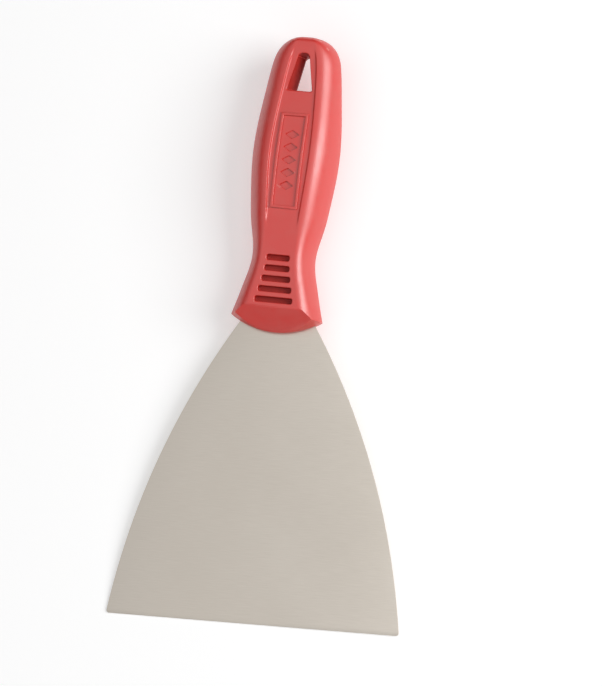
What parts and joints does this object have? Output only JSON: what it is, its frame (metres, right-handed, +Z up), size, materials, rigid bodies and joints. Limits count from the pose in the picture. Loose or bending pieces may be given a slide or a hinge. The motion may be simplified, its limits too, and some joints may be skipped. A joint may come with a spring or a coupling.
{
  "type": "flexible putty knife",
  "caption": "Flexible putty knife with a thin flared spring steel blade, in a waisted moulded handle with a hang hole, a sunken panel and grip slots.",
  "frame": {"origin": "under the middle of the bounding box, on the surface that the knife lies on", "axes": "+Z up out of the badge face, +Y along the handle from the blade's edge towards the hang end, +X across, to the right as seen from above with the hang end away"},
  "size_m": [0.1, 0.1982, 0.0218],
  "materials": {
    "spring_steel": "satin rolled steel, faintly grained, with a bright ground working edge",
    "red_plastic": "semi-gloss moulded red plastic, faintly uneven"
  },
  "bodies": {
    "root": {"blade": "spring_steel", "handle_front": "red_plastic", "handle_back": "red_plastic"}
  },
  "joints": []
}
